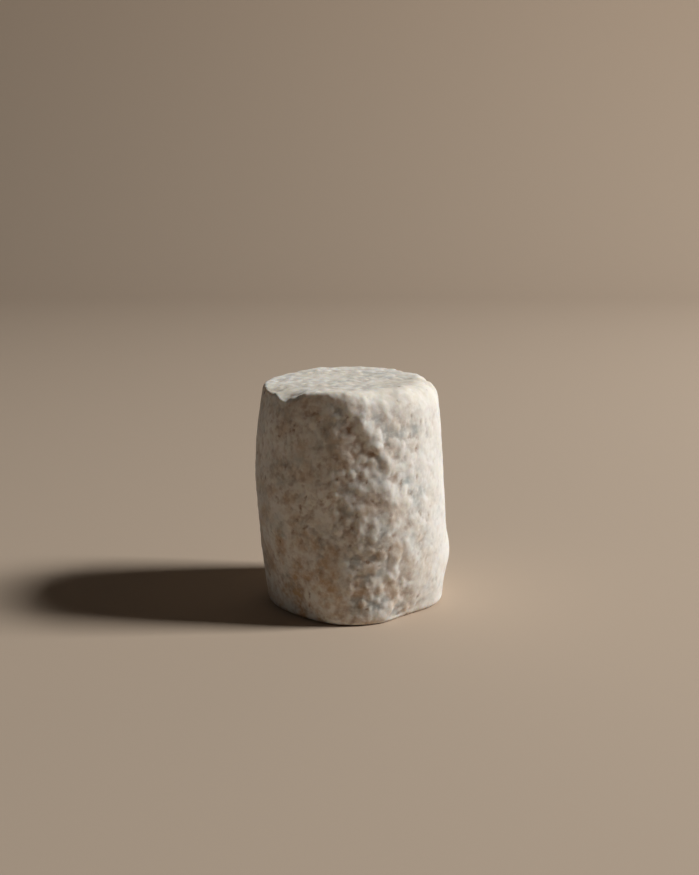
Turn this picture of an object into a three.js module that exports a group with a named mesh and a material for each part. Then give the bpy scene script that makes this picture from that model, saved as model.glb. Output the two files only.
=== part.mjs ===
// An aged goat's cheese log: one short drum that stands on its end, under a lumpy natural rind.
// Millimetres and degrees, +Z up, the front towards -Y, the origin at the centre of the flat foot.
import * as THREE from "three";
import { mergeVertices } from "three/addons/utils/BufferGeometryUtils.js";

const { clamp, degToRad, lerp, smoothstep } = THREE.MathUtils;

// The drum: a barrel that is a little wider at its belly than at either end.
const HEIGHT = 79;
const BELLY_RADIUS = 33.4;
const BELLY_HEIGHT = 34;
const TOP_RADIUS = 29.8;
const FOOT_RADIUS = 31.2;

// The upper part has slid to the left, as a soft young cheese does while it drains.
const LEAN = { shift: -2.6, from: 8, to: 50 };

// The rim of the top is crisp, but worn round towards one angle, and the foot has a small round edge.
const RIM_CRISP = 1.6;
const RIM_WORN = 7.5;
const WORN_ANGLE = 340;
const WORN_FROM = 0.5;
const FOOT_EDGE = 1.8;

// The top is a little dished, and it has slumped on one side, from one distance off the axis to another.
const TOP_DISH = 0.7;
const SLUMP = { depth: 2, angle: 185, from: 12, to: 32, reach: 14 };

// Relief of the rind, from broad swells down to the lumps, and the uneven wear of the rim as a share of it.
// Stretch draws a pattern out along the height, as the curd hung in its mould.
const SWELL = { size: 22, stretch: 1.4, height: 1.2, seed: 3.7 };
const FOLD = { size: 9, stretch: 1.2, height: 0.6, seed: 12.4 };
const LUMP = { size: 4.4, stretch: 1, height: 0.3, seed: 27.1 };
const WEAR = { size: 9, stretch: 1, height: 0.7, seed: 91.6 };

// The front and the back are lumpy. The sides between them are smoother, and so is the top.
const LUMPY_ANGLE = 290;
const LUMPY_POWER = 6;
const SMOOTH_SHARE = 0.3;
const TOP_SHARE = 0.4;

// A chip in the rim, hollowed by a ball that faces out of the side and up by a tilt.
const CHIP = { angle: 190, height: 75.5, tilt: 30, depth: 1, radius: 4 };

// Places where the rim dips, straight down.
const DIPS = [
  { angle: 228, height: 78, radius: 4.4, rise: -2.2 },
  { angle: 223, height: 78, radius: 2.4, rise: -1.1 },
];

// Places where the wall is tucked in, level, above the foot.
const TUCKS = [
  { angle: 313, height: 0, radius: 13, rise: -4 },
  { angle: 225, height: 0, radius: 13, rise: -1.5 },
];

// Places that stand proud or sunken: the sunken rim by the chip, a lump over the foot and a bulge.
const KNOBS = [
  { angle: 204, height: 77, radius: 7, rise: -1.1 },
  { angle: 291, height: 4.5, radius: 3.2, rise: 1.3 },
  { angle: 358, height: 18, radius: 7, rise: 1.4 },
];

// A slanting ridge of knobs on the front.
const RIDGE = { angles: [279, 294], heights: [69, 55], knobs: 5, radius: 2.4, rise: 0.7 };

const UP = new THREE.Vector3(0, 0, 1);

// Grid of the surface: steps across each end, a quarter of those round the side, and steps up the side.
const STEPS_ACROSS = 28;
const STEPS_UP = 34;

const RIND = new THREE.MeshStandardMaterial({ color: 0xe2dacb, roughness: 0.9, metalness: 0 });

// Scatters a lattice corner's whole-number place into 32 bits, always the same ones.
const HASH_START = 0xdeadbf08;

function turnBits(value, bits) {
  return (value << bits) | (value >>> (32 - bits));
}

function cornerHash(x, y, z) {
  let a = (HASH_START + x) | 0;
  let b = (HASH_START + y) | 0;
  let c = (HASH_START + z) | 0;
  c = ((c ^ b) - turnBits(b, 14)) | 0;
  a = ((a ^ c) - turnBits(c, 11)) | 0;
  b = ((b ^ a) - turnBits(a, 25)) | 0;
  c = ((c ^ b) - turnBits(b, 16)) | 0;
  a = ((a ^ c) - turnBits(c, 4)) | 0;
  b = ((b ^ a) - turnBits(a, 14)) | 0;
  c = ((c ^ b) - turnBits(b, 24)) | 0;
  return c;
}

// The height, at a step (x, y, z) away from a lattice corner, of the slope that the corner's hash picks.
function cornerSlope(hash, x, y, z) {
  const pick = hash & 15;
  const first = pick < 8 ? x : y;
  const second = pick < 4 ? y : pick === 12 || pick === 14 ? x : z;
  return (pick & 1 ? -first : first) + (pick & 2 ? -second : second);
}

// Gradient noise from about -1 to 1, on a lattice of unit cells.
const NOISE_SCALE = 0.982;

function noise(p) {
  const cell = p.clone().floor();
  const at = p.clone().sub(cell);
  const fade = (t) => t * t * t * (t * (t * 6 - 15) + 10);
  let sum = 0;
  for (let corner = 0; corner < 8; corner++) {
    const dx = corner & 1;
    const dy = (corner >> 1) & 1;
    const dz = corner >> 2;
    const weight =
      fade(dx ? at.x : 1 - at.x) * fade(dy ? at.y : 1 - at.y) * fade(dz ? at.z : 1 - at.z);
    const hash = cornerHash(cell.x + dx, cell.y + dy, cell.z + dz);
    sum += weight * cornerSlope(hash, at.x - dx, at.y - dy, at.z - dz);
  }
  return sum * NOISE_SCALE;
}

// A relief pattern's height at a point.
function pattern(point, { size, stretch, height, seed }) {
  const at = point.clone().divideScalar(size);
  at.z /= stretch;
  return height * noise(at.addScalar(seed));
}

// The level direction at an angle round the axis, from +X.
function direction(angle) {
  const turn = degToRad(angle);
  return new THREE.Vector3(Math.cos(turn), Math.sin(turn), 0);
}

function barrelRadius(height) {
  const above = height > BELLY_HEIGHT;
  const share = (height - BELLY_HEIGHT) / (above ? HEIGHT - BELLY_HEIGHT : BELLY_HEIGHT);
  return lerp(BELLY_RADIUS, above ? TOP_RADIUS : FOOT_RADIUS, share * share);
}

// The leaning axis's point at a height.
function axisPoint(height) {
  return new THREE.Vector3(LEAN.shift * smoothstep(height, LEAN.from, LEAN.to), 0, height);
}

// The place on the smooth drum's side at an angle and a height.
function onSide(angle, height) {
  return axisPoint(height).addScaledVector(direction(angle), barrelRadius(height));
}

// The radius of the top's rounded rim in a direction round the axis.
function rimRadius(round) {
  const towards = 0.5 + 0.5 * round.dot(direction(WORN_ANGLE));
  const evenRim = lerp(RIM_CRISP, RIM_WORN, smoothstep(towards, WORN_FROM, 1));
  return evenRim * (1 + pattern(round.clone().multiplyScalar(BELLY_RADIUS), WEAR));
}

// How far the top, and less so the wall just below it, has sunk at a point.
function slump(point) {
  const along = point.dot(direction(SLUMP.angle));
  const share = clamp((along - SLUMP.from) / (SLUMP.to - SLUMP.from), 0, 1);
  return SLUMP.depth * share * smoothstep(point.z, HEIGHT - SLUMP.reach, HEIGHT);
}

// The smooth drum's point for a point of a box from -1 to 1, with its outward and round directions.
// The square rings of the box become circles, and its edges are rounded towards a smaller inner drum.
function drum(box) {
  const quarter = Math.PI / 4;
  const round = new THREE.Vector3(Math.tan(box.x * quarter), Math.tan(box.y * quarter), 0).normalize();
  const ring = Math.max(Math.abs(box.x), Math.abs(box.y));
  const outer = new THREE.Vector2(ring * BELLY_RADIUS, ((box.z + 1) / 2) * HEIGHT);
  const edge = box.z > 0 ? rimRadius(round) : FOOT_EDGE;
  const inner = new THREE.Vector2(
    Math.min(outer.x, BELLY_RADIUS - edge),
    clamp(outer.y, edge, HEIGHT - edge),
  );
  const out = outer.clone().sub(inner).normalize();
  const at = inner.clone().addScaledVector(out, edge);
  const point = axisPoint(at.y).addScaledVector(round, (at.x * barrelRadius(at.y)) / BELLY_RADIUS);
  point.z -= slump(point);
  const outward = round.clone().multiplyScalar(out.x).setZ(out.y);
  return { point, outward, round, ring };
}

// How far the rind stands out of the smooth drum. The foot stays flat.
function relief({ point, outward, round, ring }) {
  const up = Math.max(outward.z, 0);
  const down = Math.max(-outward.z, 0);
  const lumpy = round.dot(direction(LUMPY_ANGLE)) ** LUMPY_POWER;
  const share = lerp(lerp(SMOOTH_SHARE, 1, lumpy), TOP_SHARE, up);
  const lumps = pattern(point, FOLD) + pattern(point, LUMP);
  const dish = TOP_DISH * up * (1 - ring * ring);
  return (pattern(point, SWELL) * (1 - up) + share * lumps - dish) * (1 - down);
}

// Points inside the chip's ball move out to its skin.
function chipOut(point) {
  const { angle, height, tilt, depth, radius } = CHIP;
  const faces = direction(angle).multiplyScalar(Math.cos(degToRad(tilt))).setZ(Math.sin(degToRad(tilt)));
  const centre = onSide(angle, height).addScaledVector(faces, radius - depth);
  const away = point.clone().sub(centre);
  if (away.length() < radius) point.copy(centre).add(away.setLength(radius));
}

// The knobs of the slanting ridge, evenly spaced between its ends.
function ridgeKnobs() {
  const { angles, heights, knobs, radius, rise } = RIDGE;
  return Array.from({ length: knobs }, (_, i) => {
    const share = i / (knobs - 1);
    return { angle: lerp(...angles, share), height: lerp(...heights, share), radius, rise };
  });
}

// Each knob is a soft round rise in a direction, or a dent where its rise is below zero.
function raiseKnobs(point, way, knobs) {
  for (const { angle, height, radius, rise } of knobs) {
    const away = point.distanceTo(onSide(angle, height)) / radius;
    point.addScaledVector(way, rise * Math.exp(-away * away));
  }
}

function cheeseGeometry() {
  const grid = new THREE.BoxGeometry(2, 2, 2, STEPS_ACROSS, STEPS_ACROSS, STEPS_UP);
  grid.deleteAttribute("normal");
  grid.deleteAttribute("uv");
  const skin = mergeVertices(grid);
  const positions = skin.getAttribute("position");
  const box = new THREE.Vector3();
  for (let i = 0; i < positions.count; i++) {
    const base = drum(box.fromBufferAttribute(positions, i));
    const point = base.point.clone();
    chipOut(point);
    point.addScaledVector(base.outward, relief(base));
    raiseKnobs(point, base.round, TUCKS);
    raiseKnobs(point, UP, DIPS);
    raiseKnobs(point, base.outward, [...KNOBS, ...ridgeKnobs()]);
    positions.setXYZ(i, point.x, point.y, Math.max(point.z, 0));
  }
  skin.computeVertexNormals();
  return skin;
}

const cheese = new THREE.Mesh(cheeseGeometry(), RIND);
cheese.name = "cheese_log";

const part = new THREE.Group();
part.add(cheese);

export default part;
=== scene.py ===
"""An aged goat's cheese log on a pale floor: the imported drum, with the fine relief and finish of its rind."""

import math

import bpy
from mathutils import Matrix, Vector


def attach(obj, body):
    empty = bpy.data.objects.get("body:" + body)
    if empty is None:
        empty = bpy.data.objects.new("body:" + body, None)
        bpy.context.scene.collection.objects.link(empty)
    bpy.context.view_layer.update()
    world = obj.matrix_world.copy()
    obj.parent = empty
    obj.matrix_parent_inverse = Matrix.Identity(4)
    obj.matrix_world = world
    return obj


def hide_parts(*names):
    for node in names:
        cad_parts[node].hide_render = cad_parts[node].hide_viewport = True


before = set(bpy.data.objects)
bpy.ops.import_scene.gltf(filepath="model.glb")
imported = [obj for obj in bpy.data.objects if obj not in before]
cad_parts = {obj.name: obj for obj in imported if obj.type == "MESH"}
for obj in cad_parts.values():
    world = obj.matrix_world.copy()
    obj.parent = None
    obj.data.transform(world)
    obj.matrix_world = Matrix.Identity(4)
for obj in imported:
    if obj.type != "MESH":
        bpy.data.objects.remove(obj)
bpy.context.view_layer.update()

CHEESE_NODE = "cheese_log"
CHEESE_BODY = "root"

MM = 0.001

# The drum, as in the solid: sizes in millimetres, angles round the axis in degrees from +X, and shares.
DRUM = {
    "Height": 79.0,
    "Belly radius": 33.4,
    "Belly height": 34.0,
    "Top radius": 29.8,
    "Foot radius": 31.2,
    "Lean": -2.6,
    "Lean from": 8.0,
    "Lean to": 50.0,
    "Rim crisp": 1.6,
    "Rim worn": 7.5,
    "Worn angle": 340.0,
    "Worn from": 0.5,
    "Foot edge": 1.8,
    "Top dish": 0.7,
    "Slump": 2.0,
    "Slump angle": 185.0,
    "Slump from": 12.0,
    "Slump to": 32.0,
    "Slump reach": 14.0,
    "Lumpy angle": 290.0,
    "Lumpy power": 6.0,
    "Smooth share": 0.3,
    "Top share": 0.4,
}

# Relief patterns, as in the solid: the size of their grain, how far they are drawn out along the height,
# and how high they stand. The wear of the rim stands as a share of the rim's radius.
PATTERNS = {
    "Wear": {"size": 9.0, "stretch": 1.0, "height": 0.7, "seed": 91.6},
    "Swell": {"size": 22.0, "stretch": 1.4, "height": 1.2, "seed": 3.7},
    "Fold": {"size": 9.0, "stretch": 1.2, "height": 0.6, "seed": 12.4},
    "Lump": {"size": 4.4, "stretch": 1.0, "height": 0.3, "seed": 27.1},
}

# A chip in the rim, as in the solid, hollowed by a ball that faces out of the side and up by a tilt.
CHIP = {"angle": 190, "height": 75.5, "tilt": 30, "depth": 1.0, "radius": 4.0}

# Places where the rim dips, straight down, as in the solid.
DIPS = (
    {"angle": 228, "height": 78.0, "radius": 4.4, "rise": -2.2},
    {"angle": 223, "height": 78.0, "radius": 2.4, "rise": -1.1},
)

# Places where the wall is tucked in, level, above the foot, as in the solid.
TUCKS = (
    {"angle": 313, "height": 0.0, "radius": 13.0, "rise": -4.0},
    {"angle": 225, "height": 0.0, "radius": 13.0, "rise": -1.5},
)

# Places that stand proud or sunken, as in the solid: the sunken rim by the chip, a lump over the foot
# and a bulge.
KNOBS = (
    {"angle": 204, "height": 77.0, "radius": 7.0, "rise": -1.1},
    {"angle": 291, "height": 4.5, "radius": 3.2, "rise": 1.3},
    {"angle": 358, "height": 18.0, "radius": 7.0, "rise": 1.4},
)

# A slanting ridge of knobs on the front, as in the solid.
RIDGE = {"angles": (279, 294), "heights": (69.0, 55.0), "knobs": 5, "radius": 2.4, "rise": 0.7}

# Finer relief that only the skin has: faint streaks and grain, and round bumps of curd under the bloom.
FINE_PATTERNS = {
    "Streak": {"size": 1.6, "stretch": 3.0, "height": 0.05, "seed": 58.2},
    "Grain": {"size": 1.2, "stretch": 1.0, "height": 0.07, "seed": 73.6},
}
CURDS = {"Curd": {"spacing": 3.6, "height": 0.46}, "Crumb": {"spacing": 2.0, "height": 0.1}}
CURD_SOFTNESS = 0.85
CURD_WANDER = {"size": 6.0, "reach": 0.8}

# Where a curd's rounded side starts and ends, as shares of the curds' spacing away from its middle.
CURD_SIDE = (0.05, 0.6)

# Pits that the mould left: the spacing of their cells, their radius and depth, and the share of cells that
# have one. They are ragged and drawn out along the height. The last value is how strongly they show on the
# top.
PITS = {"Pit spacing": 3.4, "Pit radius": 1.0, "Pit depth": 0.16, "Pit share": 0.7}
PIT_STRETCH = 1.3
PIT_WANDER = {"size": 1.3, "reach": 0.7}
PIT_ON_TOP = 0.7

# The share of the curds' height on the top, the side where the bloom is barest, how bare it is on the lumps
# and on the top, and the share of the fine relief that shows where the bloom is thickest.
SKIN = {
    "Fine top share": 1.2,
    "Bare angle": 240.0,
    "Bare lumps": 0.85,
    "Bare top": 0.4,
    "Least grain": 0.25,
}

# Grid of the skin: steps across each end and up the side, about half a millimetre each.
STEPS_ACROSS = 112
STEPS_UP = 140

# How far the skin is averaged to find its hollows and its creases, where shade is painted, and how deep a full
# one is in millimetres.
HOLLOWS = {"hollow": {"blur": 40, "depth": 0.18}, "crease": {"blur": 10, "depth": 0.07}}

# Grain of the rind's colours and of its chalky surface, in millimetres.
BLOOM_PATCH = 14.0
STAIN_PATCH = 7.0
SKIN_PATCH = 9.0
BLOTCH = 2.2
MOULD_PATCH = 10.0
MOTTLE = 1.4
CHALK_GRAIN = 0.55

# Heights in millimetres between which the stains and painted shade fade, and the share of them left above.
STAIN_AND_SHADE_FADE = {"from": 5.0, "to": 45.0, "left": 0.5}

# Colours of the rind and of the studio, as sRGB.
COLOURS = {
    "bloom": "#EFEAE2",
    "thin bloom": "#E0D8CD",
    "top bloom": "#EFE7DB",
    "thin top bloom": "#DBCBB3",
    # The stain, stronger low down, also paints shade on the lower side.
    "stain": "#C4A27C",
    # The skin, mixed into the hollows and creases, also paints their shade.
    "skin": "#A68A75",
    # The mould, heavier in the hollows, also paints their shade.
    "mould": "#A0A7A6",
    "pit": "#865D35",
    "crumb": "#F4F0E9",
    "floor": "#BDA893",
    "lamp": "#F7FAFB",
    "surroundings": "#D8D4CE",
}

# Square soft lights: degrees round the cheese and up, then the distance and the side in metres.
LIGHTS = {
    "key": {"angle": -2, "elevation": 38.5, "distance": 2.4, "side": 0.5, "watts": 68.0},
    "fill": {"angle": 168, "elevation": 20, "distance": 2.4, "side": 1.6, "watts": 1.8},
}

# The camera, in metres and degrees: the photograph's perspective of a drum of this size.
FRAME_HEIGHT = 875
FOCAL_PIXELS = 1175.0
SENSOR = 36.0
CAMERA_AT = (-0.0023, -0.402, 0.142)
CAMERA_PITCH = 11.8

MATH = "ShaderNodeMath"
VECTOR = "ShaderNodeVectorMath"
COMBINE = "ShaderNodeCombineXYZ"
SEPARATE = "ShaderNodeSeparateXYZ"
MAP_RANGE = "ShaderNodeMapRange"
MIX = "ShaderNodeMix"
NOISE = "ShaderNodeTexNoise"
VORONOI = "ShaderNodeTexVoronoi"
STORE = "GeometryNodeStoreNamedAttribute"


def add(tree, kind, inputs=(), **settings):
    """Adds a node with its settings, and fills its enabled inputs with values, sockets or nodes' outputs."""
    node = tree.nodes.new(kind)
    for name, value in settings.items():
        setattr(node, name, value)
    sockets = [socket for socket in node.inputs if socket.enabled]
    named = {socket.name: socket for socket in sockets}
    for key, source in inputs.items() if isinstance(inputs, dict) else enumerate(inputs):
        socket = named[key] if isinstance(key, str) else sockets[key]
        if isinstance(source, bpy.types.Node):
            source = next(output for output in source.outputs if output.enabled)
        if isinstance(source, bpy.types.NodeSocket):
            tree.links.new(source, socket)
        elif source is not None:
            socket.default_value = source
    return node


def linear(name):
    """A named sRGB colour as the linear colour that a shader takes."""
    channels = (int(COLOURS[name][i : i + 2], 16) / 255 for i in (1, 3, 5))
    return (*(c / 12.92 if c <= 0.04045 else ((c + 0.055) / 1.055) ** 2.4 for c in channels), 1.0)


def tilted(angle, tilt):
    """The direction at an angle round the axis that is tilted up, both in degrees."""
    turn, rise = math.radians(angle), math.radians(tilt)
    return Vector((math.cos(turn) * math.cos(rise), math.sin(turn) * math.cos(rise), math.sin(rise)))


def smoothstep(value, low, high):
    """A smooth rise from 0 at a low value to 1 at a high one."""
    share = min(max((value - low) / (high - low), 0.0), 1.0)
    return share * share * (3 - 2 * share)


def barrel_radius(height):
    """The barrel's radius at a height, in millimetres."""
    above = height > DRUM["Belly height"]
    end_height, end_radius = (DRUM["Height"], DRUM["Top radius"]) if above else (0.0, DRUM["Foot radius"])
    share = (height - DRUM["Belly height"]) / (end_height - DRUM["Belly height"])
    return DRUM["Belly radius"] + (end_radius - DRUM["Belly radius"]) * share * share


def on_side(angle, height):
    """The place on the smooth drum's side, in millimetres, at an angle round its axis and a height."""
    lean = DRUM["Lean"] * smoothstep(height, DRUM["Lean from"], DRUM["Lean to"])
    return tilted(angle, 0) * barrel_radius(height) + Vector((lean, 0.0, height))


def ridge_knobs():
    """The knobs of the slanting ridge, evenly spaced between its ends."""
    knobs = []
    for i in range(RIDGE["knobs"]):
        share = i / (RIDGE["knobs"] - 1)
        ends = (RIDGE["angles"], RIDGE["heights"])
        angle, height = ((1 - share) * first + share * last for first, last in ends)
        knobs.append({"angle": angle, "height": height, "radius": RIDGE["radius"], "rise": RIDGE["rise"]})
    return knobs


def pattern_group():
    """A node group for one relief pattern: gradient noise with a grain of a given size and height."""
    tree = bpy.data.node_groups.new("relief_pattern", "GeometryNodeTree")
    tree.interface.new_socket("Point", in_out="INPUT", socket_type="NodeSocketVector")
    for name in ("Size", "Stretch", "Height", "Seed"):
        tree.interface.new_socket(name, in_out="INPUT", socket_type="NodeSocketFloat")
    tree.interface.new_socket("Relief", in_out="OUTPUT", socket_type="NodeSocketFloat")
    given = add(tree, "NodeGroupInput").outputs
    tall = add(tree, MATH, [given["Size"], given["Stretch"]], operation="MULTIPLY")
    grain = add(tree, COMBINE, [given["Size"], given["Size"], tall])
    cells = add(tree, VECTOR, [given["Point"], grain], operation="DIVIDE")
    shifted = add(tree, VECTOR, [cells, given["Seed"]], operation="ADD")
    noise = add(tree, NOISE, {"Vector": shifted, "Scale": 1.0, "Detail": 0.0}, normalize=False)
    add(tree, "NodeGroupOutput", [add(tree, MATH, [noise, given["Height"]], operation="MULTIPLY")])
    return tree


def pattern_relief(tree, group, size, name, point):
    """One relief pattern's height at a point, by the tree's named inputs for it."""
    inputs = [point, *(size[f"{name} {key}"] for key in ("size", "stretch", "height", "seed"))]
    return add(tree, "GeometryNodeGroup", inputs, node_tree=group)


def reach_towards(tree, point, angle):
    """How far a point lies from the axis towards an angle input in degrees."""
    turn = add(tree, MATH, [angle], operation="RADIANS")
    east = add(tree, MATH, [turn], operation="COSINE")
    north = add(tree, MATH, [turn], operation="SINE")
    return add(tree, VECTOR, [point, add(tree, COMBINE, [east, north])], operation="DOT_PRODUCT")


def rim_radius(tree, group, size, round_axis):
    """The radius of the top's rounded rim: crisp, but worn round towards one angle, and uneven."""
    towards = reach_towards(tree, round_axis, size["Worn angle"])
    facing = add(tree, MAP_RANGE, [towards, -1.0, 1.0, 0.0, 1.0])
    rim_range = [facing, size["Worn from"], 1.0, size["Rim crisp"], size["Rim worn"]]
    even_rim = add(tree, MAP_RANGE, rim_range, interpolation_type="SMOOTHSTEP")
    round_place = add(tree, VECTOR, [round_axis, size["Belly radius"]], operation="MULTIPLY")
    wear = pattern_relief(tree, group, size, "Wear", round_place)
    return add(tree, MATH, [even_rim, wear, even_rim], operation="MULTIPLY_ADD")


def barrel_share(tree, size, height):
    """The barrel's radius at a height, as a share of its belly's."""
    above = add(tree, MATH, [height, size["Belly height"]], operation="GREATER_THAN")
    upper_span = add(tree, MATH, [size["Height"], size["Belly height"]], operation="SUBTRACT")
    span = add(tree, MIX, [above, size["Belly height"], upper_span])
    end_radius = add(tree, MIX, [above, size["Foot radius"], size["Top radius"]])
    from_belly = add(tree, MATH, [height, size["Belly height"]], operation="SUBTRACT")
    share = add(tree, MATH, [from_belly, span], operation="DIVIDE")
    squared = add(tree, MATH, [share, share], operation="MULTIPLY")
    radius = add(tree, MIX, [squared, size["Belly radius"], end_radius])
    return add(tree, MATH, [radius, size["Belly radius"]], operation="DIVIDE")


def slumped(tree, size, point, height):
    """Sinks the top on one side, and less so the wall just below it."""
    along = reach_towards(tree, point, size["Slump angle"])
    depth = add(tree, MAP_RANGE, [along, size["Slump from"], size["Slump to"], 0.0, size["Slump"]])
    low = add(tree, MATH, [size["Height"], size["Slump reach"]], operation="SUBTRACT")
    share = add(tree, MAP_RANGE, [height, low, size["Height"], 0.0, 1.0], interpolation_type="SMOOTHSTEP")
    sink = add(tree, COMBINE, [None, None, add(tree, MATH, [depth, share], operation="MULTIPLY")])
    return add(tree, VECTOR, [point, sink], operation="SUBTRACT")


def smooth_drum(tree, group, size):
    """The smooth drum: a box's square rings made round, its edges rounded, its side bellied and leaned.

    Returns the box's mesh and fields for the point, its outward and round directions, and its ring share.
    """
    box = add(tree, "GeometryNodeMeshCube", [(2, 2, 2), STEPS_ACROSS + 1, STEPS_ACROSS + 1, STEPS_UP + 1])
    place = add(tree, "GeometryNodeInputPosition")
    across = add(tree, VECTOR, [place, (math.pi / 4, math.pi / 4, 0)], operation="MULTIPLY")
    round_axis = add(tree, VECTOR, [add(tree, VECTOR, [across], operation="TANGENT")], operation="NORMALIZE")
    sides = add(tree, SEPARATE, [add(tree, VECTOR, [place], operation="ABSOLUTE")]).outputs
    ring = add(tree, MATH, [sides["X"], sides["Y"]], operation="MAXIMUM")
    ring_out = add(tree, MATH, [ring, size["Belly radius"]], operation="MULTIPLY")
    box_z = add(tree, SEPARATE, [place]).outputs["Z"]
    ring_up = add(tree, MAP_RANGE, [box_z, -1.0, 1.0, 0.0, size["Height"]])

    upper = add(tree, MATH, [box_z, 0.0], operation="GREATER_THAN")
    edge = add(tree, MIX, [upper, size["Foot edge"], rim_radius(tree, group, size, round_axis)])
    inner_most = add(tree, MATH, [size["Belly radius"], edge], operation="SUBTRACT")
    inner_out = add(tree, MATH, [ring_out, inner_most], operation="MINIMUM")
    inner_top = add(tree, MATH, [size["Height"], edge], operation="SUBTRACT")
    inner_up = add(tree, "ShaderNodeClamp", [ring_up, edge, inner_top])
    inner = add(tree, COMBINE, [inner_out, None, inner_up])
    outer = add(tree, COMBINE, [ring_out, None, ring_up])
    from_inner = add(tree, VECTOR, [outer, inner], operation="SUBTRACT")
    out = add(tree, VECTOR, [from_inner], operation="NORMALIZE")
    edged = add(tree, VECTOR, [out, edge, inner], operation="MULTIPLY_ADD")
    at = add(tree, SEPARATE, [edged]).outputs

    radius = add(tree, MATH, [at["X"], barrel_share(tree, size, at["Z"])], operation="MULTIPLY")
    lean_range = [at["Z"], size["Lean from"], size["Lean to"], 0.0, size["Lean"]]
    lean = add(tree, MAP_RANGE, lean_range, interpolation_type="SMOOTHSTEP")
    axis = add(tree, COMBINE, [lean, None, at["Z"]])
    upright = add(tree, VECTOR, [round_axis, radius, axis], operation="MULTIPLY_ADD")
    point = slumped(tree, size, upright, at["Z"])
    slant = add(tree, SEPARATE, [out]).outputs
    rise = add(tree, COMBINE, [None, None, slant["Z"]])
    outward = add(tree, VECTOR, [round_axis, slant["X"], rise], operation="MULTIPLY_ADD")
    return box, point, outward, round_axis, ring


def rind_relief(tree, group, size, point, outward, round_axis, ring):
    """How far the rind's swells, folds and lumps stand out of the drum.

    Returns that with fields for the side's share of lumps, for how far it faces up, and for what isn't foot.
    """
    up_down = add(tree, SEPARATE, [outward]).outputs["Z"]
    up = add(tree, MATH, [up_down, 0.0], operation="MAXIMUM")
    level = add(tree, MATH, [1.0, up], operation="SUBTRACT")
    not_foot = add(tree, MAP_RANGE, [up_down, -1.0, 0.0, 0.0, 1.0])
    towards = reach_towards(tree, round_axis, size["Lumpy angle"])
    lumpy = add(tree, MATH, [towards, size["Lumpy power"]], operation="POWER")
    side_share = add(tree, MIX, [lumpy, size["Smooth share"], 1.0])
    share = add(tree, MIX, [up, side_share, size["Top share"]])

    swell = add(tree, MATH, [pattern_relief(tree, group, size, "Swell", point), level], operation="MULTIPLY")
    fold = pattern_relief(tree, group, size, "Fold", point)
    lumps = add(tree, MATH, [fold, pattern_relief(tree, group, size, "Lump", point)], operation="ADD")
    rough = add(tree, MATH, [lumps, share, swell], operation="MULTIPLY_ADD")

    ring_squared = add(tree, MATH, [ring, ring], operation="MULTIPLY")
    dish_share = add(tree, MATH, [1.0, ring_squared], operation="SUBTRACT")
    dish_up = add(tree, MATH, [dish_share, up], operation="MULTIPLY")
    dish = add(tree, MATH, [dish_up, size["Top dish"]], operation="MULTIPLY")
    dished = add(tree, MATH, [rough, dish], operation="SUBTRACT")
    return add(tree, MATH, [dished, not_foot], operation="MULTIPLY"), side_share, up, not_foot


def chipped(tree, point):
    """Scoops out the chip: points inside its ball move out to the ball's skin."""
    faces = tilted(CHIP["angle"], CHIP["tilt"])
    centre = on_side(CHIP["angle"], CHIP["height"]) + faces * (CHIP["radius"] - CHIP["depth"])
    away = add(tree, VECTOR, [point, centre], operation="SUBTRACT")
    length = add(tree, VECTOR, [away], operation="LENGTH")
    needed = add(tree, MATH, [CHIP["radius"], length], operation="DIVIDE")
    stretch = add(tree, MATH, [needed, 1.0], operation="MAXIMUM")
    return add(tree, VECTOR, [away, stretch, centre], operation="MULTIPLY_ADD")


def knobbed(tree, point, way, knobs):
    """Raises each knob in a way, as a soft round rise, or sinks it where its rise is below zero."""
    for knob in knobs:
        middle = on_side(knob["angle"], knob["height"])
        away = add(tree, VECTOR, [point, middle], operation="DISTANCE")
        scaled = add(tree, MATH, [away, knob["radius"]], operation="DIVIDE")
        squared = add(tree, MATH, [scaled, scaled], operation="MULTIPLY")
        fall = add(tree, MATH, [add(tree, MATH, [squared, -1.0], operation="MULTIPLY")], operation="EXPONENT")
        rise = add(tree, MATH, [fall, knob["rise"]], operation="MULTIPLY")
        point = add(tree, VECTOR, [way, rise, point], operation="MULTIPLY_ADD")
    return point


def wandered(tree, point, wander):
    """A point moved a little by noise, so that a pattern's cells aren't regular."""
    drift = add(tree, NOISE, {"Vector": point, "Scale": 1 / wander["size"], "Detail": 1.0}, normalize=False)
    step = add(tree, VECTOR, [drift.outputs["Color"], wander["reach"]], operation="SCALE")
    return add(tree, VECTOR, [point, step], operation="ADD")


def curd_relief(tree, size, name, point, below):
    """Round bumps with soft creases between them, added to the relief below."""
    cells = add(tree, VECTOR, [point, size[name + " spacing"]], operation="DIVIDE")
    settings = {"Vector": cells, "Scale": 1.0, "Smoothness": CURD_SOFTNESS}
    away = add(tree, VORONOI, settings, feature="SMOOTH_F1").outputs["Distance"]
    bump = add(tree, MAP_RANGE, [away, *CURD_SIDE, 0.5, -0.5], interpolation_type="SMOOTHSTEP")
    return add(tree, MATH, [bump, size[name + " height"], below], operation="MULTIPLY_ADD")


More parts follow.
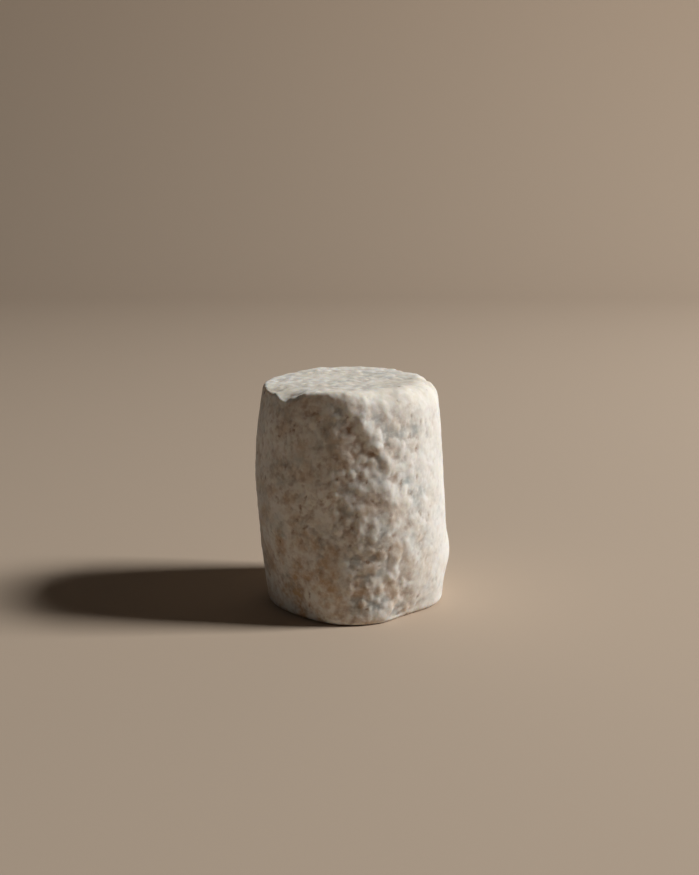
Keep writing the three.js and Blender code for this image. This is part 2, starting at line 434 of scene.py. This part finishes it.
def fine_relief(tree, group, size, point, share, grain_share):
    """The fine relief: curds and faint streaks where the lumps are, grain and pits.

    Returns it with a field for the pits.
    """
    strayed = wandered(tree, point, CURD_WANDER)
    streak = pattern_relief(tree, group, size, "Streak", point)
    curds = curd_relief(tree, size, "Curd", strayed, streak)
    grain = pattern_relief(tree, group, size, "Grain", point)
    crumbs = curd_relief(tree, size, "Crumb", strayed, grain)
    lumpy = add(tree, MATH, [curds, share, crumbs], operation="MULTIPLY_ADD")
    grained = add(tree, MATH, [lumpy, grain_share], operation="MULTIPLY")

    ragged = wandered(tree, strayed, PIT_WANDER)
    drawn = add(tree, VECTOR, [ragged, (1.0, 1.0, 1 / PIT_STRETCH)], operation="MULTIPLY")
    cells = add(tree, VECTOR, [drawn, size["Pit spacing"]], operation="DIVIDE")
    spots = add(tree, VORONOI, {"Vector": cells, "Scale": 1.0})
    away = add(tree, MATH, [spots.outputs["Distance"], size["Pit spacing"]], operation="MULTIPLY")
    bowl = add(tree, MAP_RANGE, [away, 0.0, size["Pit radius"], 1.0, 0.0], interpolation_type="SMOOTHSTEP")
    chance = add(tree, SEPARATE, [spots.outputs["Color"]]).outputs["X"]
    strength = add(tree, MAP_RANGE, [chance, 0.0, size["Pit share"], 1.0, 0.0])
    pit = add(tree, MATH, [bowl, strength], operation="MULTIPLY")
    depth = add(tree, MATH, [pit, size["Pit depth"]], operation="MULTIPLY")
    return add(tree, MATH, [grained, depth], operation="SUBTRACT"), pit


def with_hollows(tree, geometry):
    """Stores how far the skin lies below its own average, for its hollows and for its creases."""
    place = add(tree, "GeometryNodeInputPosition")
    normal = add(tree, "GeometryNodeInputNormal")
    for name, hollow in HOLLOWS.items():
        mean = add(tree, "GeometryNodeBlurAttribute", [place, hollow["blur"]], data_type="FLOAT_VECTOR")
        below = add(tree, VECTOR, [mean, place], operation="SUBTRACT")
        depth = add(tree, VECTOR, [below, normal], operation="DOT_PRODUCT")
        share = add(tree, MATH, [depth, hollow["depth"] * MM], operation="DIVIDE")
        stored = {"Geometry": geometry, "Name": name, "Value": share}
        geometry = add(tree, STORE, stored, data_type="FLOAT", domain="POINT")
    return geometry


def cheese_tree(material):
    """The Geometry Nodes tree of the whole cheese. Returns it with the values of its named inputs."""
    tree = bpy.data.node_groups.new("cheese_rind", "GeometryNodeTree")
    values = {**DRUM, **PITS, **SKIN}
    for name, pattern in {**PATTERNS, **FINE_PATTERNS, **CURDS}.items():
        values.update({f"{name} {key}": value for key, value in pattern.items()})
    for name in values:
        tree.interface.new_socket(name, in_out="INPUT", socket_type="NodeSocketFloat")
    tree.interface.new_socket("Rind", in_out="OUTPUT", socket_type="NodeSocketGeometry")
    size = add(tree, "NodeGroupInput").outputs
    group = pattern_group()

    box, smooth_point, outward, round_axis, ring = smooth_drum(tree, group, size)
    relief, side_share, up, not_foot = rind_relief(tree, group, size, smooth_point, outward, round_axis, ring)
    rough = add(tree, VECTOR, [outward, relief, chipped(tree, smooth_point)], operation="MULTIPLY_ADD")
    tucked = knobbed(tree, rough, round_axis, TUCKS)
    dipped = knobbed(tree, tucked, (0.0, 0.0, 1.0), DIPS)
    marked = knobbed(tree, dipped, outward, (*KNOBS, *ridge_knobs()))
    fine_share = add(tree, MIX, [up, side_share, size["Fine top share"]])
    facing = add(tree, MAP_RANGE, [reach_towards(tree, round_axis, size["Bare angle"]), -1.0, 1.0, 0.0, 1.0])
    bare_lumps = add(tree, MATH, [side_share, size["Bare lumps"]], operation="MULTIPLY")
    bare_side = add(tree, MATH, [facing, bare_lumps], operation="MAXIMUM")
    bare = add(tree, MIX, [up, bare_side, size["Bare top"]])
    grain_share = add(tree, MIX, [bare, size["Least grain"], 1.0])
    fine, pit = fine_relief(tree, group, size, marked, fine_share, grain_share)
    fine_side = add(tree, MATH, [fine, not_foot], operation="MULTIPLY")
    grown = add(tree, VECTOR, [outward, fine_side, marked], operation="MULTIPLY_ADD")
    skin = add(tree, SEPARATE, [grown]).outputs
    above_floor = add(tree, MATH, [skin["Z"], 0.0], operation="MAXIMUM")
    on_floor = add(tree, COMBINE, [skin["X"], skin["Y"], above_floor])
    metres = add(tree, VECTOR, [on_floor, MM], operation="SCALE")

    geometry = box
    for name, value in (("pit", pit), ("bare", bare), ("top", up)):
        stored = {"Geometry": geometry, "Name": name, "Value": value}
        geometry = add(tree, STORE, stored, data_type="FLOAT", domain="POINT")
    placed = add(tree, "GeometryNodeSetPosition", {"Geometry": geometry, "Position": metres})
    smooth = add(tree, "GeometryNodeSetShadeSmooth", [with_hollows(tree, placed)])
    real = add(tree, "GeometryNodeRealizeInstances", [smooth])
    painted = add(tree, "GeometryNodeSetMaterial", {"Geometry": real, "Material": material})
    add(tree, "NodeGroupOutput", [painted])
    return tree, values


def make_cheese(material):
    """The cheese as one plain mesh, made by its tree."""
    tree, values = cheese_tree(material)
    maker = bpy.data.objects.new("cheese_maker", bpy.data.meshes.new("cheese_maker"))
    bpy.context.scene.collection.objects.link(maker)
    modifier = maker.modifiers.new("rind", "NODES")
    modifier.node_group = tree
    for socket in tree.interface.items_tree:
        if socket.in_out == "INPUT":
            modifier[socket.identifier] = values[socket.name]
    graph = bpy.context.evaluated_depsgraph_get()
    mesh = bpy.data.meshes.new_from_object(maker.evaluated_get(graph))
    bpy.data.objects.remove(maker)
    mesh.name = "goat_cheese"
    cheese = bpy.data.objects.new("goat_cheese", mesh)
    bpy.context.scene.collection.objects.link(cheese)
    return cheese


def rind_material():
    """Natural goat's cheese rind: a dry white bloom of mould on tan skin, which looks soft and chalky."""
    material = bpy.data.materials.new("natural_rind")
    material.use_nodes = True
    tree = material.node_tree
    tree.nodes.clear()
    place = add(tree, "ShaderNodeTexCoord").outputs["Object"]
    hollow, crease, pit, bare, top = (
        add(tree, "ShaderNodeAttribute", attribute_name=name).outputs["Fac"]
        for name in ("hollow", "crease", "pit", "bare", "top")
    )
    side = add(tree, MATH, [1.0, top], operation="SUBTRACT")

    # The bloom lies thick on the crests and wears thin in broad patches.
    patches = add(tree, NOISE, {"Vector": place, "Scale": 1 / (BLOOM_PATCH * MM), "Detail": 3.0})
    thin = add(tree, MAP_RANGE, [patches, 0.35, 0.7, 0.0, 0.8])
    side_bloom = add(tree, MIX, [thin, linear("bloom"), linear("thin bloom")], data_type="RGBA")
    top_bloom = add(tree, MIX, [thin, linear("top bloom"), linear("thin top bloom")], data_type="RGBA")
    bloom = add(tree, MIX, [top, side_bloom, top_bloom], data_type="RGBA")

    # Warm stains spread through it on the barest side, stronger low down, which also paints shade on the lower
    # side.
    stain = {"Vector": place, "Scale": 1 / (STAIN_PATCH * MM), "Detail": 4.0, "Roughness": 0.6}
    stain_patch = add(tree, MAP_RANGE, [add(tree, NOISE, stain), 0.46, 0.62, 0.0, 1.0])
    height = add(tree, SEPARATE, [place]).outputs["Z"]
    fade_range = [height, STAIN_AND_SHADE_FADE["from"] * MM, STAIN_AND_SHADE_FADE["to"] * MM, 1.0, STAIN_AND_SHADE_FADE["left"]]
    stain_and_shade_low_down = add(tree, MAP_RANGE, fade_range)
    barest = add(tree, MATH, [add(tree, MATH, [bare, 3.0], operation="POWER"), side], operation="MULTIPLY")
    stain_and_shade_side = add(tree, MATH, [barest, stain_and_shade_low_down], operation="MULTIPLY")
    stain_and_shade_share = add(tree, MATH, [stain_patch, stain_and_shade_side], operation="MULTIPLY")
    stained_and_shaded = add(tree, MIX, [stain_and_shade_share, bloom, linear("stain")], data_type="RGBA")

    # Tan skin shows in the hollows and creases, where it also paints shade, and in small blotches, more in some
    # places than in others.
    skin_spread = add(tree, NOISE, {"Vector": place, "Scale": 1 / (SKIN_PATCH * MM), "Detail": 3.0})
    skin_more = add(tree, MAP_RANGE, [skin_spread, 0.35, 0.65, 0.3, 1.0])
    blotches = add(tree, NOISE, {"Vector": place, "Scale": 1 / (BLOTCH * MM), "Detail": 3.0})
    blotch = add(tree, MAP_RANGE, [blotches, 0.46, 0.7, 0.0, 0.7])
    deep_skin_and_shade = add(tree, MAP_RANGE, [hollow, -0.2, 1.1, 0.0, 0.9])
    creased_skin_and_shade = add(tree, MAP_RANGE, [crease, 0.0, 1.4, 0.0, 0.5])
    low = add(tree, MATH, [deep_skin_and_shade, creased_skin_and_shade], operation="ADD")
    bare_side = add(tree, MATH, [bare, side], operation="MULTIPLY")
    low_or_blotch = add(tree, MATH, [blotch, bare_side, low], operation="MULTIPLY_ADD")
    skin_side = add(tree, MAP_RANGE, [bare, 0.0, 1.0, 0.32, 1.0])
    skin_and_shade_all = add(tree, MATH, [low_or_blotch, skin_more], operation="MULTIPLY")
    skin_and_shade_share = add(tree, MATH, [skin_and_shade_all, skin_side], operation="MULTIPLY", use_clamp=True)
    skinned_and_shaded = add(tree, MIX, [skin_and_shade_share, stained_and_shaded, linear("skin")], data_type="RGBA")

    # Blue-grey mould grows in soft patches between the crests, heavier in the hollows, where it also paints
    # shade.
    mould = {"Vector": place, "Scale": 1 / (MOULD_PATCH * MM), "Detail": 4.0, "Roughness": 0.6}
    mould_patch = add(tree, MAP_RANGE, [add(tree, NOISE, mould), 0.48, 0.65, 0.0, 0.85])
    mould_and_shade_low = add(tree, MAP_RANGE, [hollow, -0.8, 0.5, 0.25, 1.0])
    mould_and_shade_all = add(tree, MATH, [mould_patch, mould_and_shade_low], operation="MULTIPLY")
    mould_and_shade_share = add(tree, MATH, [mould_and_shade_all, skin_side], operation="MULTIPLY")
    mouldy_and_shaded = add(tree, MIX, [mould_and_shade_share, skinned_and_shaded, linear("mould")], data_type="RGBA")

    # Brown pits, and a fine mottle of crumbs of bloom.
    pit_bare = add(tree, MIX, [top, bare, PIT_ON_TOP])
    pit_share = add(tree, MATH, [pit, pit_bare], operation="MULTIPLY")
    pitted = add(tree, MIX, [pit_share, mouldy_and_shaded, linear("pit")], data_type="RGBA")
    crumbs = add(tree, NOISE, {"Vector": place, "Scale": 1 / (MOTTLE * MM), "Detail": 2.0})
    crumb_share = add(tree, MAP_RANGE, [crumbs, 0.5, 0.75, 0.0, 0.4])
    colour = add(tree, MIX, [crumb_share, pitted, linear("crumb")], data_type="RGBA")

    # The bloom is drier than the skin, and both have a chalky grain.
    roughness = add(tree, MAP_RANGE, [skin_and_shade_share, 0.0, 1.0, 0.94, 0.74])
    chalk = {"Vector": place, "Scale": 1 / (CHALK_GRAIN * MM), "Detail": 3.0, "Roughness": 0.65}
    grain = {"Strength": 0.22, "Distance": CHALK_GRAIN * MM / 3, "Height": add(tree, NOISE, chalk)}
    shader = add(
        tree,
        "ShaderNodeBsdfPrincipled",
        {
            "Base Color": colour,
            "Roughness": roughness,
            "Specular IOR Level": 0.3,
            "Normal": add(tree, "ShaderNodeBump", grain),
            "Subsurface Weight": 0.6,
            "Subsurface Radius": (1.0, 0.75, 0.5),
            "Subsurface Scale": 1.4 * MM,
            "Sheen Weight": 0.08,
            "Sheen Roughness": 0.6,
        },
    )
    add(tree, "ShaderNodeOutputMaterial", [shader])
    return material


def make_floor():
    """A pale sweep: a level floor that curves up into a backdrop."""
    half_width = 2.0
    near, far, curve_radius, top = -1.5, 1.2, 0.6, 1.8
    curve_steps = 16
    profile = [(near, 0.0), (far, 0.0)]
    for step in range(1, curve_steps + 1):
        turn = math.pi / 2 * step / curve_steps
        profile.append((far + curve_radius * math.sin(turn), curve_radius * (1 - math.cos(turn))))
    profile.append((far + curve_radius, top))
    corners = [(x, y, z) for y, z in profile for x in (-half_width, half_width)]
    faces = [(i, i + 1, i + 3, i + 2) for i in range(0, len(corners) - 2, 2)]
    mesh = bpy.data.meshes.new("floor")
    mesh.from_pydata(corners, [], faces)
    mesh.shade_smooth()
    material = bpy.data.materials.new("pale_paper_sweep")
    material.use_nodes = True
    shader = material.node_tree.nodes["Principled BSDF"]
    shader.inputs["Base Color"].default_value = linear("floor")
    shader.inputs["Roughness"].default_value = 0.95
    mesh.materials.append(material)
    floor = bpy.data.objects.new("floor", mesh)
    bpy.context.scene.collection.objects.link(floor)


def make_light(name, angle, elevation, distance, side, watts):
    """A light that looks at the middle of the cheese."""
    back = tilted(angle, elevation)
    data = bpy.data.lights.new(name, "AREA")
    data.size = side
    data.energy = watts
    data.color = linear("lamp")[:3]
    light = bpy.data.objects.new(name, data)
    light.location = Vector((0.0, 0.0, DRUM["Height"] * MM / 2)) + back * distance
    light.rotation_euler = back.to_track_quat("Z", "Y").to_euler()
    bpy.context.scene.collection.objects.link(light)


def make_camera():
    """The camera, at the photograph's angle."""
    data = bpy.data.cameras.new("camera")
    data.sensor_width = SENSOR
    data.lens = FOCAL_PIXELS / FRAME_HEIGHT * SENSOR
    data.clip_start = 0.01
    camera = bpy.data.objects.new("camera", data)
    camera.location = CAMERA_AT
    camera.rotation_euler = (math.radians(90 - CAMERA_PITCH), 0, 0)
    bpy.context.scene.collection.objects.link(camera)
    bpy.context.scene.camera = camera


def make_world():
    """A faint even light from all round."""
    world = bpy.data.worlds.new("studio")
    world.use_nodes = True
    background = world.node_tree.nodes["Background"]
    background.inputs["Color"].default_value = linear("surroundings")
    background.inputs["Strength"].default_value = 0.01
    bpy.context.scene.world = world


make_camera()
make_world()
make_floor()
for light_name, light in LIGHTS.items():
    make_light(light_name, **light)
bpy.context.scene.view_settings.view_transform = "Standard"

cheese = make_cheese(rind_material())
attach(cheese, CHEESE_BODY)
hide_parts(CHEESE_NODE)
